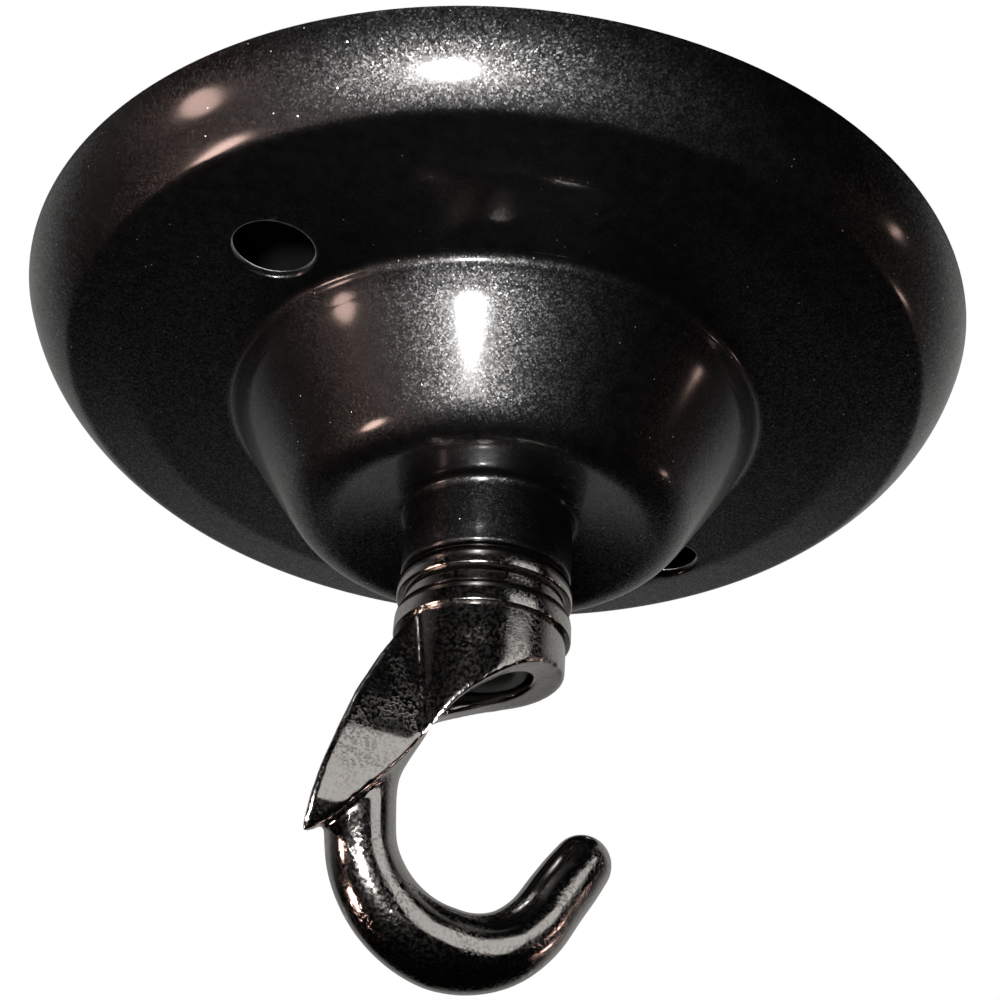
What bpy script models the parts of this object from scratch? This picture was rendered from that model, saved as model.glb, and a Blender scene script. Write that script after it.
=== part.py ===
"""Ceiling hook plate: a pressed steel canopy with a cast hook on a hollow threaded tube.

Frame: metres, +Z up. The origin is the centre of the plane where the canopy's rim meets the
ceiling, and everything hangs below it. The hook has its own plane, turned about Z by HOOK_YAW.
"""
import math

import bmesh
import bpy
from mathutils import Vector

MM = 0.001
TAU = 2 * math.pi

# Canopy, outer surface, in millimetres (z is measured down from the ceiling as a negative number)
PLATE_RADIUS = 50.0
SHEET = 1.0
RIM_ARC_RADIUS, RIM_ARC_START, RIM_ARC_END = 13.5, -18, -56
RIM_ALLOWANCE = 1.0
DISC_OUTER_RADIUS, DISC_OUTER_Z = 39.2, -7.65
DISC_RADIUS, DISC_Z = 37.4, -7.8
DOME_FOOT_RADIUS, FOOT_FILLET, FOOT_DRAFT = 28.9, 1.2, 0.2
DOME_WALL_RADIUS, DOME_WALL_Z, DOME_WALL_BEND = 26.6, -10.7, 1.4
SHOULDER_TOP = (21.2, -18.8)
SHOULDER_CORNER = (18.9, -22.3)
SHOULDER_END = (15.8, -21.4)
NECK_RADIUS, NECK_ROOT_Z, NECK_END_Z = 8.6, -19.4, -27.1
NECK_FILLET, NECK_ROOT_DROP, NECK_EDGE = 1.3, 0.37, 0.4
FIXING_HOLE_RADIUS, FIXING_CENTRES, FIXING_ANGLE = 3.95, 67.7, math.radians(230.3)

# Threaded tube and what is on it
FIT_GAP = 0.35
TUBE_RADIUS, TUBE_BORE_RADIUS = 4.8, 4.0
TUBE_TOP_Z, TUBE_END_Z = -9.9, -35.9
THREAD_HOLE_RADIUS = TUBE_RADIUS + FIT_GAP
WASHER_RADIUS, WASHER_THICKNESS, WASHER_TOP_Z = 12.0, 1.5, -16.6
SPRING_RADIUS, SPRING_THICKNESS, SPRING_TOP_Z, SPRING_SPLIT = 8.2, 1.0, -15.3, 1.0
NUT_FLATS, NUT_THICKNESS, NUT_TOP_Z, NUT_CHAMFER = 14.0, 4.0, -11.0, 0.7
BUSH_FLANGE_RADIUS, BUSH_FLANGE = 4.75, 1.0
BUSH_SPIGOT_RADIUS, BUSH_SPIGOT, BUSH_BORE_RADIUS = 3.65, 5.0, 3.2
BUSH_GAP = 0.3

# Lock ring and the collar of the hook
COLLAR_RADIUS, COLLAR_TOP_LAND, COLLAR_CHAMFER, COLLAR_EDGE = 8.8, 8.45, 0.7, 0.35
RING_TOP_Z, RING_END_Z = -27.4, -29.65
HOOK_TOP_Z, GROOVE_RADIUS, BEAD_TOP_Z, BEAD_END_Z = -29.95, 8.2, -31.1, -33.7

# Hook, in its own plane: x to the tip's side, z up
HOOK_YAW = math.radians(27)
BOSS_RADIUS, BOSS_END_Z, THREAD_BORE_END_Z = 8.3, -51.5, -45.5
LIP_CURVE = [(10.0, -37.3), (5.0, -37.7), (2.2, -38.5), (-1.0, -40.1), (-5.0, -43.4), (-8.4, -48.8),
             (-12.3, -53.2), (-14.3, -55.5), (-16.7, -57.4)]
LIP_CUTTER_HALF_WIDTH, LIP_CUTTER_END_X, LIP_CUTTER_END_Z = 15.0, 22.0, -75.0
BEND_CENTRE, BEND_RADII = (-0.7, -54.7), (10.2, 9.9)
LEG_TOP, LEG_MIDDLE = (-8.0, -43.4), (-10.8, -49.4)
ARM_START, TIP_CENTRE = -40, (12.15, -54.05)
LEG_RADIUS, BAR_RADIUS, ARM_RADIUS, TIP_RADIUS = 3.2, 3.7, 3.15, 2.9

# Leaf on the hook's back: z, x of its front edge, and half width; its outer side slants away
LEAF_SECTIONS = [(-33.9, -8.7, 2.0), (-39.3, -11.9, 2.9), (-43.9, -14.2, 3.5), (-47.7, -15.55, 3.8),
                 (-51.8, -16.75, 3.8), (-54.7, -17.25, 3.4), (-56.8, -17.25, 2.7), (-58.6, -16.65, 1.8)]
LEAF_ROOT_X, LEAF_EDGE, LEAF_SLANT, LEAF_BACK = -3.5, 0.8, 0.95, 0.55

SEGMENTS = 64
SMALL_SEGMENTS = 40


def clear_scene():
    for item in list(bpy.data.objects):
        bpy.data.objects.remove(item, do_unlink=True)


def new_collection(name):
    collection = bpy.data.collections.new(name)
    bpy.context.scene.collection.children.link(collection)
    return collection


def material(name, colour, roughness, metallic):
    made = bpy.data.materials.new(name)
    made.use_nodes = True
    shader = made.node_tree.nodes["Principled BSDF"]
    shader.inputs["Base Color"].default_value = (*colour, 1.0)
    shader.inputs["Roughness"].default_value = roughness
    shader.inputs["Metallic"].default_value = metallic
    return made


def add_object(name, mesh, collection, finish=None):
    item = bpy.data.objects.new(name, mesh)
    collection.objects.link(item)
    if finish is not None:
        mesh.materials.append(finish)
    return item


def arc(centre, radii, start, end, count):
    """Points on an ellipse's arc, from the start angle to the end angle, in degrees."""
    points = []
    for step in range(count + 1):
        angle = math.radians(start + (end - start) * step / count)
        points.append((centre[0] + radii[0] * math.cos(angle), centre[1] + radii[1] * math.sin(angle)))
    return points


def bend(start, corner, end, count):
    """A quadratic curve that rounds a corner between two straight stretches."""
    points = []
    for step in range(count + 1):
        t = step / count
        weights = ((1 - t) ** 2, 2 * t * (1 - t), t ** 2)
        points.append(tuple(sum(w * p[axis] for w, p in zip(weights, (start, corner, end)))
                            for axis in (0, 1)))
    return points


def spline(points, per_span):
    """A smooth curve through the points (Catmull-Rom), as a list of points."""
    knots = [Vector(p) for p in points]
    knots = [2 * knots[0] - knots[1]] + knots + [2 * knots[-1] - knots[-2]]
    curve = []
    for a, b, c, d in zip(knots, knots[1:], knots[2:], knots[3:]):
        for step in range(per_span):
            t = step / per_span
            curve.append(0.5 * (2 * b + (c - a) * t + (2 * a - 5 * b + 4 * c - d) * t ** 2
                                + (3 * b - a - 3 * c + d) * t ** 3))
    curve.append(knots[-2])
    return [tuple(point) for point in curve]


def turned(name, profile, collection, finish=None, closed=True, segments=SMALL_SEGMENTS):
    """A profile of (radius, z) points in millimetres, turned about Z."""
    mesh = bpy.data.meshes.new(name)
    count = len(profile)
    edges = [(i, i + 1) for i in range(count - 1)]
    if closed:
        edges.append((count - 1, 0))
    mesh.from_pydata([(r * MM, 0.0, z * MM) for r, z in profile], edges, [])
    item = add_object(name, mesh, collection, finish)
    screw = item.modifiers.new("turn", "SCREW")
    screw.axis = "Z"
    screw.angle = TAU
    screw.steps = screw.render_steps = segments
    screw.use_merge_vertices = True
    screw.merge_threshold = 0.00001
    screw.use_smooth_shade = True
    return item


def hide_cutter(item):
    item.hide_render = True
    item.display_type = "WIRE"


def cut(item, cutter, operation="DIFFERENCE"):
    hide_cutter(cutter)
    change = item.modifiers.new(cutter.name, "BOOLEAN")
    change.operation = operation
    change.solver = "EXACT"
    change.object = cutter


def round_cutter(name, radius, top_z, end_z, place, collection, segments=32):
    mesh = bpy.data.meshes.new(name)
    form = bmesh.new()
    bmesh.ops.create_cone(form, cap_ends=True, segments=segments, radius1=radius * MM,
                          radius2=radius * MM, depth=(top_z - end_z) * MM)
    form.to_mesh(mesh)
    form.free()
    item = add_object(name, mesh, collection)
    item.location = (place[0] * MM, place[1] * MM, (top_z + end_z) / 2 * MM)
    return item


def ring_profile(inner, outer, top_z, end_z):
    return [(inner, top_z), (outer, top_z), (outer, end_z), (inner, end_z)]


def canopy_profile():
    """The canopy's outer surface, from above the ceiling plane to the hole in the neck's floor."""
    start = math.radians(RIM_ARC_START)
    centre = (PLATE_RADIUS - RIM_ARC_RADIUS * math.cos(start), -RIM_ARC_RADIUS * math.sin(start))
    rim = arc(centre, (RIM_ARC_RADIUS, RIM_ARC_RADIUS), RIM_ARC_START, RIM_ARC_END, 6)
    above = (PLATE_RADIUS + RIM_ALLOWANCE * math.tan(-start), RIM_ALLOWANCE)
    disc = [(DISC_OUTER_RADIUS, DISC_OUTER_Z), (DISC_RADIUS, DISC_Z)]
    foot = bend((DOME_FOOT_RADIUS, DISC_Z), (DOME_FOOT_RADIUS - FOOT_FILLET, DISC_Z),
                (DOME_FOOT_RADIUS - FOOT_FILLET - FOOT_DRAFT, DISC_Z - FOOT_FILLET), 3)
    wall = bend((DOME_WALL_RADIUS + FOOT_DRAFT, DOME_WALL_Z + DOME_WALL_BEND / 2),
                (DOME_WALL_RADIUS, DOME_WALL_Z),
                (DOME_WALL_RADIUS - DOME_WALL_BEND, DOME_WALL_Z - DOME_WALL_BEND), 2)
    shoulder = bend(SHOULDER_TOP, SHOULDER_CORNER, SHOULDER_END, 4)
    root = bend((NECK_RADIUS + NECK_FILLET, NECK_ROOT_Z - NECK_ROOT_DROP), (NECK_RADIUS, NECK_ROOT_Z),
                (NECK_RADIUS, NECK_ROOT_Z - NECK_FILLET), 3)
    return ([above] + rim + disc + foot + wall + shoulder + root
            + [(NECK_RADIUS, NECK_END_Z + NECK_EDGE), (NECK_RADIUS - NECK_EDGE, NECK_END_Z),
               (THREAD_HOLE_RADIUS, NECK_END_Z)])


def make_canopy(collection, cutters):
    finish = material("powder_coat_black", (0.012, 0.012, 0.013), 0.42, 0.35)
    canopy = turned("canopy", canopy_profile(), collection, finish, closed=False, segments=SEGMENTS)
    wall = canopy.modifiers.new("sheet", "SOLIDIFY")
    wall.thickness = SHEET * MM
    wall.offset = -1.0
    wall.use_even_offset = True
    cut(canopy, round_cutter("ceiling_plane", PLATE_RADIUS + 5, 5, 0, (0, 0), cutters))
    for side, angle in (("near", FIXING_ANGLE), ("far", FIXING_ANGLE + math.pi)):
        place = (FIXING_CENTRES / 2 * math.cos(angle), FIXING_CENTRES / 2 * math.sin(angle))
        cut(canopy, round_cutter("fixing_hole_" + side, FIXING_HOLE_RADIUS, DISC_Z + 4, DISC_Z - 4,
                                 place, cutters, segments=24))
    return canopy


def make_threaded_tube(collection):
    finish = material("zinc_steel", (0.62, 0.60, 0.55), 0.35, 1.0)
    profile = ring_profile(TUBE_BORE_RADIUS, TUBE_RADIUS, TUBE_TOP_Z, TUBE_END_Z)
    return turned("threaded_tube", profile, collection, finish)


def make_washers(collection, cutters):
    finish = material("plated_washer", (0.66, 0.66, 0.64), 0.35, 1.0)
    flat = ring_profile(THREAD_HOLE_RADIUS, WASHER_RADIUS, WASHER_TOP_Z, WASHER_TOP_Z - WASHER_THICKNESS)
    turned("load_washer", flat, collection, finish)
    split = ring_profile(THREAD_HOLE_RADIUS, SPRING_RADIUS, SPRING_TOP_Z, SPRING_TOP_Z - SPRING_THICKNESS)
    spring = turned("spring_washer", split, collection, finish)
    mesh = bpy.data.meshes.new("spring_split")
    form = bmesh.new()
    bmesh.ops.create_cube(form, size=1.0)
    form.to_mesh(mesh)
    form.free()
    gap = add_object("spring_split", mesh, cutters)
    gap.scale = (SPRING_RADIUS * MM, SPRING_SPLIT * MM, 4 * SPRING_THICKNESS * MM)
    gap.location = (SPRING_RADIUS * MM, 0, (SPRING_TOP_Z - SPRING_THICKNESS / 2) * MM)
    gap.rotation_euler = (math.radians(25), 0, 0)
    cut(spring, gap)


def make_hex_nut(collection, cutters):
    """A thin hexagon nut: a six-sided prism whose corners are turned off on both faces."""
    finish = material("plated_nut", (0.68, 0.67, 0.63), 0.3, 1.0)
    corner = NUT_FLATS / math.sqrt(3)
    mesh = bpy.data.meshes.new("hex_nut")
    form = bmesh.new()
    bmesh.ops.create_cone(form, cap_ends=True, segments=6, radius1=corner * MM, radius2=corner * MM,
                          depth=NUT_THICKNESS * MM)
    form.to_mesh(mesh)
    form.free()
    nut = add_object("hex_nut", mesh, collection, finish)
    middle = NUT_TOP_Z - NUT_THICKNESS / 2
    nut.location = (0, 0, middle * MM)
    flat_radius = NUT_FLATS / 2 - 0.2
    half = NUT_THICKNESS / 2
    envelope = [(0, middle + half + 0.1), (flat_radius, middle + half + 0.1),
                (corner + 0.2, middle + half - NUT_CHAMFER), (corner + 0.2, middle - half + NUT_CHAMFER),
                (flat_radius, middle - half - 0.1), (0, middle - half - 0.1)]
    cut(nut, turned("nut_corners", envelope, cutters, closed=False, segments=48), "INTERSECT")
    cut(nut, round_cutter("nut_bore", THREAD_HOLE_RADIUS, NUT_TOP_Z + 1, NUT_TOP_Z - NUT_THICKNESS - 1,
                          (0, 0), cutters))


def make_bushes(collection):
    """Two flanged insulating bushes, one in each end of the tube."""
    finish = material("bush_plastic", (0.03, 0.03, 0.03), 0.5, 0.0)
    for name, tube_end, up in (("cable_bush_top", TUBE_TOP_Z, 1), ("cable_bush_bottom", TUBE_END_Z, -1)):
        face = tube_end + up * BUSH_GAP
        profile = [(BUSH_BORE_RADIUS, face + up * BUSH_FLANGE), (BUSH_FLANGE_RADIUS, face + up * BUSH_FLANGE),
                   (BUSH_FLANGE_RADIUS, face), (BUSH_SPIGOT_RADIUS, face),
                   (BUSH_SPIGOT_RADIUS, face - up * BUSH_SPIGOT), (BUSH_BORE_RADIUS, face - up * BUSH_SPIGOT)]
        if up < 0:
            profile.reverse()
        turned(name, profile, collection, finish)


def make_lock_ring(collection):
    finish = material("black_nickel_ring", (0.06, 0.056, 0.055), 0.15, 1.0)
    profile = [(THREAD_HOLE_RADIUS, RING_TOP_Z), (COLLAR_TOP_LAND, RING_TOP_Z),
               (COLLAR_RADIUS, RING_TOP_Z - COLLAR_CHAMFER), (COLLAR_RADIUS, RING_END_Z + COLLAR_EDGE),
               (COLLAR_RADIUS - COLLAR_EDGE, RING_END_Z), (THREAD_HOLE_RADIUS, RING_END_Z)]
    return turned("lock_ring", profile, collection, finish, segments=SEGMENTS)


def boss_profile():
    return [(0, HOOK_TOP_Z), (GROOVE_RADIUS, HOOK_TOP_Z), (GROOVE_RADIUS, BEAD_TOP_Z),
            (COLLAR_RADIUS, BEAD_TOP_Z - COLLAR_CHAMFER), (COLLAR_RADIUS, BEAD_END_Z + COLLAR_EDGE),
            (BOSS_RADIUS, BEAD_END_Z), (BOSS_RADIUS, BOSS_END_Z), (0, BOSS_END_Z)]


def leaf_ring(z, edge_x, half_width):
    """One level section of the leaf: a flat front face, a sharp edge and a slanted outer side."""
    reach = min(LEAF_EDGE, half_width * 0.4)
    back = (edge_x + LEAF_SLANT * half_width, LEAF_BACK * half_width)
    slant = math.hypot(back[0] - edge_x, back[1] + half_width)
    inward = (edge_x + reach * (back[0] - edge_x) / slant,
              -half_width + reach * (back[1] + half_width) / slant)
    outline = [(LEAF_ROOT_X, -half_width)]
    outline += bend((edge_x + reach, -half_width), (edge_x, -half_width), inward, 4)
    outline += [back, (LEAF_ROOT_X, half_width)]
    return [(x * MM, y * MM, z * MM) for x, y in outline]


def loft(name, rings, collection):
    """A closed solid through rings that have the same number of points."""
    form = bmesh.new()
    levels = [[form.verts.new(point) for point in ring] for ring in rings]
    for upper, lower in zip(levels, levels[1:]):
        for i in range(len(upper)):
            j = (i + 1) % len(upper)
            form.faces.new((upper[i], upper[j], lower[j], lower[i]))
    form.faces.new(list(reversed(levels[0])))
    form.faces.new(levels[-1])
    bmesh.ops.recalc_face_normals(form, faces=form.faces)
    mesh = bpy.data.meshes.new(name)
    form.to_mesh(mesh)
    form.free()
    return add_object(name, mesh, collection)


def lip_cutter(collection):
    """Everything under the slanted lower lip of the hook's head."""
    outline = spline(LIP_CURVE, 4)
    far, floor = LIP_CUTTER_END_X, LIP_CUTTER_END_Z
    outline += [(-far, outline[-1][1] + 1.0), (-far, floor), (far, floor), (far, outline[0][1] + 1.5)]
    form = bmesh.new()
    width = LIP_CUTTER_HALF_WIDTH * MM
    face = form.faces.new([form.verts.new((x * MM, -width, z * MM)) for x, z in outline])
    side = bmesh.ops.extrude_face_region(form, geom=[face])
    moved = [v for v in side["geom"] if isinstance(v, bmesh.types.BMVert)]
    bmesh.ops.translate(form, verts=moved, vec=(0, 2 * width, 0))
    bmesh.ops.recalc_face_normals(form, faces=form.faces)
    mesh = bpy.data.meshes.new("lip_cutter")
    form.to_mesh(mesh)
    form.free()
    return add_object("lip_cutter", mesh, collection)


def bar_radius(along):
    """The bar's radius, thickest at the bottom of the bend; along runs from 0 at the leg to 1."""
    stations = [(0.0, LEG_RADIUS), (0.25, LEG_RADIUS), (0.55, BAR_RADIUS), (0.85, ARM_RADIUS),
                (1.0, TIP_RADIUS)]
    for (start, first), (end, second) in zip(stations, stations[1:]):
        if along <= end:
            return first + (second - first) * (along - start) / (end - start)
    return TIP_RADIUS


def bar_route():
    """Centreline of the hook's bar in its plane, with the bar's radius at each point."""
    turn = arc(BEND_CENTRE, BEND_RADII, 180, 360 + ARM_START, 6)
    middle = tuple((a + b) / 2 for a, b in zip(turn[-1], TIP_CENTRE))
    points = spline([LEG_TOP, LEG_MIDDLE] + turn + [middle, TIP_CENTRE], 3)
    last = len(points) - 1
    radii = [bar_radius(index / last) for index in range(len(points))]
    direction = (Vector(points[-1]) - Vector(points[-2])).normalized()
    for angle in (math.radians(degrees) for degrees in (22, 44, 64, 82)):
        points.append(tuple(Vector(TIP_CENTRE) + direction * TIP_RADIUS * math.sin(angle)))
        radii.append(TIP_RADIUS * math.cos(angle))
    return points, radii


def make_bar(collection):
    points, radii = bar_route()
    curve = bpy.data.curves.new("hook_bar", "CURVE")
    curve.dimensions = "3D"
    curve.bevel_depth = MM
    curve.bevel_resolution = 4
    curve.use_fill_caps = True
    line = curve.splines.new("POLY")
    line.points.add(len(points) - 1)
    for knot, (x, z), radius in zip(line.points, points, radii):
        knot.co = (x * MM, 0.0, z * MM, 1.0)
        knot.radius = radius
    item = bpy.data.objects.new("hook_bar_curve", curve)
    collection.objects.link(item)
    bpy.context.view_layer.update()
    evaluated = item.evaluated_get(bpy.context.evaluated_depsgraph_get())
    mesh = bpy.data.meshes.new_from_object(evaluated)
    form = bmesh.new()
    form.from_mesh(mesh)
    bmesh.ops.remove_doubles(form, verts=form.verts, dist=0.000001)
    bmesh.ops.recalc_face_normals(form, faces=form.faces)
    form.to_mesh(mesh)
    form.free()
    bar = add_object("hook_bar", mesh, collection)
    bpy.data.objects.remove(item, do_unlink=True)
    return bar


def make_hook(collection, cutters):
    """The cast hook: threaded boss with a bead, leaf and slanted lip, and the bent bar."""
    finish = material("black_nickel_hook", (0.06, 0.056, 0.055), 0.15, 1.0)
    pivot = bpy.data.objects.new("hook_pivot", None)
    collection.objects.link(pivot)
    pivot.rotation_euler = (0, 0, HOOK_YAW)
    hook = turned("hook", boss_profile(), collection, finish, closed=False, segments=SEGMENTS)
    leaf = loft("leaf", [leaf_ring(*section) for section in LEAF_SECTIONS], cutters)
    tools = [(leaf, "UNION"), (lip_cutter(cutters), "DIFFERENCE"), (make_bar(cutters), "UNION"),
             (round_cutter("thread_bore", THREAD_HOLE_RADIUS, HOOK_TOP_Z + 1, THREAD_BORE_END_Z, (0, 0),
                           cutters, segments=SMALL_SEGMENTS), "DIFFERENCE")]
    for tool, operation in tools:
        cut(hook, tool, operation)
    for item in [hook] + [tool for tool, _ in tools]:
        item.parent = pivot


def main():
    clear_scene()
    parts = new_collection("ceiling_hook_plate")
    cutters = new_collection("cutters")
    make_canopy(parts, cutters)
    make_threaded_tube(parts)
    make_washers(parts, cutters)
    make_hex_nut(parts, cutters)
    make_bushes(parts)
    make_lock_ring(parts)
    make_hook(parts, cutters)


main()
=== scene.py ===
"""Ceiling hook plate: the finished look of a pressed steel canopy with a cast hook on a hollow tube.

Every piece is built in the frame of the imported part, in metres, and rides on one of its bodies.
"""
import math

import bmesh
import bpy
from mathutils import Matrix, Vector


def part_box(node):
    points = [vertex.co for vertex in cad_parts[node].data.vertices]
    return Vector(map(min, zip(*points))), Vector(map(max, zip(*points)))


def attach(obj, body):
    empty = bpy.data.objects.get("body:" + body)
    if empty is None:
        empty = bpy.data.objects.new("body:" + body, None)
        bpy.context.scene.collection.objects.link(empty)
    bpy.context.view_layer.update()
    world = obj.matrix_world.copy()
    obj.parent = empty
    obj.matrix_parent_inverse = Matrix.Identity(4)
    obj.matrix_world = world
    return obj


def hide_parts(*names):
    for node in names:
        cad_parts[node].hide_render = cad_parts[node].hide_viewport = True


bl_info = {
    "name": "Ceiling Hook Plate",
    "version": (1, 0, 0),
    "blender": (4, 5, 0),
    "location": "3D View > Sidebar > Hook Plate",
    "description": "Builds a ceiling hook plate piece by piece around its packed frame",
    "category": "Object",
}

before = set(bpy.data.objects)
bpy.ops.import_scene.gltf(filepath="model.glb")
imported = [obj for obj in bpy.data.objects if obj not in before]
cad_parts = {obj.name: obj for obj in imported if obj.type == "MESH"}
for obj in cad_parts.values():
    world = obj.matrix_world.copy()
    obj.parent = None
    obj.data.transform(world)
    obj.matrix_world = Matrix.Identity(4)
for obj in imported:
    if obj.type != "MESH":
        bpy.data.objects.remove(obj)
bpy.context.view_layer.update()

MM = 0.001
TAU = 2 * math.pi
WELD_DISTANCE = 0.000001

CANOPY_LOW, CANOPY_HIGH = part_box("canopy")
RING_LOW, RING_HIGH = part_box("lock_ring")
HOOK_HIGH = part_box("hook")[1]
TUBE_LOW, TUBE_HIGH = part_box("threaded_tube")
NUT_LOW, NUT_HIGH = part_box("hex_nut")
WASHER_LOW, WASHER_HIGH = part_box("load_washer")
SPRING_LOW, SPRING_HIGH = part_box("spring_washer")

# Canopy section, in millimetres: radius from the axis and height below the ceiling
SHEET = 1.0
RIM_ARC_RADIUS, RIM_ARC_START, RIM_ARC_END = 13.5, -18.0, -56.0
DISC_SLOPE_END, DISC_Z, DISC_RADIUS = (39.2, -7.65), -7.8, 37.4
FOOT = ((29.0, -7.8), (27.7, -7.8), (27.45, -9.1))
WALL = ((26.9, -10.0), (26.6, -10.8), (25.4, -12.6))
SHOULDER = ((21.2, -18.8), (18.9, -22.3), (15.8, -21.4))
ROOT = ((9.9, -19.77), (8.6, -19.4), (8.6, -20.7))
NECK_RADIUS, NECK_EDGE = 8.6, 0.45
THREAD_HOLE_RADIUS = 5.15
HOLE_RADIUS, HOLE_FLARE, HOLE_CENTRES, HOLE_ANGLE = 3.85, 0.4, 67.7, math.radians(230.3)

# Collar and the hook's own plane: x towards the tip, z up
COLLAR_RADIUS, COLLAR_TOP_LAND, GROOVE_RADIUS, BORE_CHAMFER = 8.8, 8.4, 8.15, 0.35
BEAD_TOP_Z, BEAD_END_Z, BOSS_RADIUS, BOSS_END_Z, BORE_END_Z = -31.1, -33.7, 8.3, -51.5, -45.5
HOOK_YAW = math.radians(27)
LIP_CURVE = ((10.0, -37.25), (5.0, -37.65), (2.2, -38.45), (-1.0, -40.05), (-5.0, -43.4),
             (-8.4, -48.85), (-12.3, -53.3), (-14.3, -55.65), (-16.8, -57.6))
BEND_CENTRE, BEND_RADII, ARM_START = (-0.7, -54.7), (10.2, 9.9), -40.0
LEG_TOP, LEG_MIDDLE, TIP_CENTRE = (-8.0, -43.4), (-10.8, -49.4), (12.15, -54.05)
BAR_STATIONS = ((0.0, 3.2), (0.25, 3.2), (0.55, 3.7), (0.85, 3.15), (0.95, 3.1), (1.0, 2.95))
LEAF_SECTIONS = ((-33.2, -8.35, 1.95), (-39.3, -12.0, 2.95), (-43.9, -14.3, 3.55), (-47.7, -15.65, 3.85),
                 (-51.8, -16.9, 3.85), (-54.7, -17.4, 3.45), (-56.8, -17.45, 2.8), (-59.2, -16.85, 1.9))
LEAF_ROOT_X, LEAF_EDGE, LEAF_SLANT, LEAF_BACK = -3.5, 0.6, 0.95, 0.55

# Tube, nut, split washer and bushes; nearer to the axis than its reach, the thread cuts nothing
THREAD_PITCH, THREAD_DEPTH = 1.0, 0.55
TUBE_BORE_RADIUS, TUBE_CHAMFER, THREAD_REACH = 4.0, 0.25, 4.6
NUT_CHAMFER, NUT_CORNER_DROP, SPLIT_ANGLE = 0.45, 0.72, math.radians(8)
BUSH_BORE_RADIUS, BUSH_MOUTH_RADIUS, BUSH_SLEEVE_RADIUS = 3.2, 3.75, 3.65

# Soft glows in a dark room: direction, the angles where each one ends and is full, and its strength
GLOWS = (((0.0, 0.75, 0.66), 76, 60, 0.34), ((0.75, 0.6, 0.3), 40, 15, 0.16),
         ((-0.85, 0.3, 0.4), 40, 15, 0.1))
ROOM_LEVEL = 0.001

# Lamps at the sides: name, the point each one faces, its bearing and height in degrees, size and power
WHITE, ROSE, SIDE_DISTANCE = (1.0, 0.98, 0.96), (1.0, 0.68, 0.59), 0.30
SIDE_LAMPS = (("left_low", (-0.019, -0.027, -0.013), (-79, -40), (0.07, 0.04), 0.36),
              ("left_high", (-0.015, -0.022, -0.010), (-66, -9), (0.05, 0.08), 0.28),
              ("right_high", (0.025, -0.023, -0.011), (92, -8.5), (0.012, 0.03), 0.02),
              ("right_low", (0.027, -0.018, -0.013), (110, -22), (0.012, 0.03), 0.02))
WINDOW_BEARING, WINDOW_DISTANCE = (50, 6.5), 0.6
DUST, COAT_DUST = (0.3, 0.29, 0.27, 1), (0.25, 0.24, 0.23, 1)

# Camera: its place in metres, and its angles in radians
CAMERA_PLACE = (0.0, -0.139673, -0.104485)
CAMERA_TURN, CAMERA_RISE, CAMERA_ROLL = 0.056062, 0.5522, 0.035980
CAMERA_LENS, CAMERA_SHIFT = 56.82, (-0.06566, 0.014185)


# ---------------------------------------------------------------- shaping helpers

def object_mode():
    if bpy.context.object and bpy.context.object.mode != "OBJECT":
        bpy.ops.object.mode_set(mode="OBJECT")


def select_only(item):
    object_mode()
    bpy.ops.object.select_all(action="DESELECT")
    item.select_set(True)
    bpy.context.view_layer.objects.active = item


def edit(item):
    select_only(item)
    bpy.ops.object.mode_set(mode="EDIT")
    bpy.ops.mesh.select_mode(type="VERT")


def arc(centre, radius, start, end, count):
    """Points on a circle's or an ellipse's arc, angles in degrees."""
    radii = radius if isinstance(radius, tuple) else (radius, radius)
    angles = (math.radians(start + (end - start) * step / count) for step in range(count + 1))
    return [(centre[0] + radii[0] * math.cos(a), centre[1] + radii[1] * math.sin(a)) for a in angles]


def bend(corner, count):
    """A rounded corner: a quadratic curve from the first of three points to the last."""
    start, middle, end = (Vector(point) for point in corner)
    steps = (step / count for step in range(count + 1))
    return [tuple((1 - t) ** 2 * start + 2 * t * (1 - t) * middle + t * t * end) for t in steps]


def spline(points, per_span):
    """A smooth curve through the points."""
    knots = [Vector(point) for point in points]
    knots = [2 * knots[0] - knots[1]] + knots + [2 * knots[-1] - knots[-2]]
    curve = []
    for a, b, c, d in zip(knots, knots[1:], knots[2:], knots[3:]):
        for step in range(per_span):
            t = step / per_span
            curve.append(0.5 * (2 * b + (c - a) * t + (2 * a - 5 * b + 4 * c - d) * t ** 2
                                + (3 * b - a - 3 * c + d) * t ** 3))
    curve.append(knots[-2])
    return [tuple(point) for point in curve]


def rounded(points, radius, count=4):
    """A closed outline with every corner rounded by about the radius."""
    outline = []
    for before, corner, after in zip(points[-1:] + points[:-1], points, points[1:] + points[:1]):
        here = Vector(corner)
        back, ahead = Vector(before) - here, Vector(after) - here
        reach = min(radius, 0.45 * back.length, 0.45 * ahead.length)
        first, last = here + back.normalized() * reach, here + ahead.normalized() * reach
        outline += bend((first, here, last), count)
    return outline


def offset(points, distance):
    """The polyline moved sideways, to the right of its direction for a positive distance."""
    moved = []
    for index, point in enumerate(points):
        before, after = points[max(index - 1, 0)], points[min(index + 1, len(points) - 1)]
        along = (Vector(after) - Vector(before)).normalized()
        moved.append((point[0] + along[1] * distance, point[1] - along[0] * distance))
    return moved


def start_line(name, point):
    """A new mesh object with one selected vertex at a point in millimetres, left in edit mode."""
    object_mode()
    bpy.ops.object.select_all(action="DESELECT")
    bpy.ops.mesh.primitive_plane_add(size=MM, location=(0, 0, 0))
    item = bpy.context.object
    item.name = item.data.name = name
    bpy.ops.object.mode_set(mode="EDIT")
    bpy.ops.mesh.select_mode(type="VERT")
    bpy.ops.mesh.select_all(action="SELECT")
    bpy.ops.mesh.merge(type="CENTER")
    bpy.ops.transform.translate(value=Vector(point) * MM)
    return item


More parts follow.
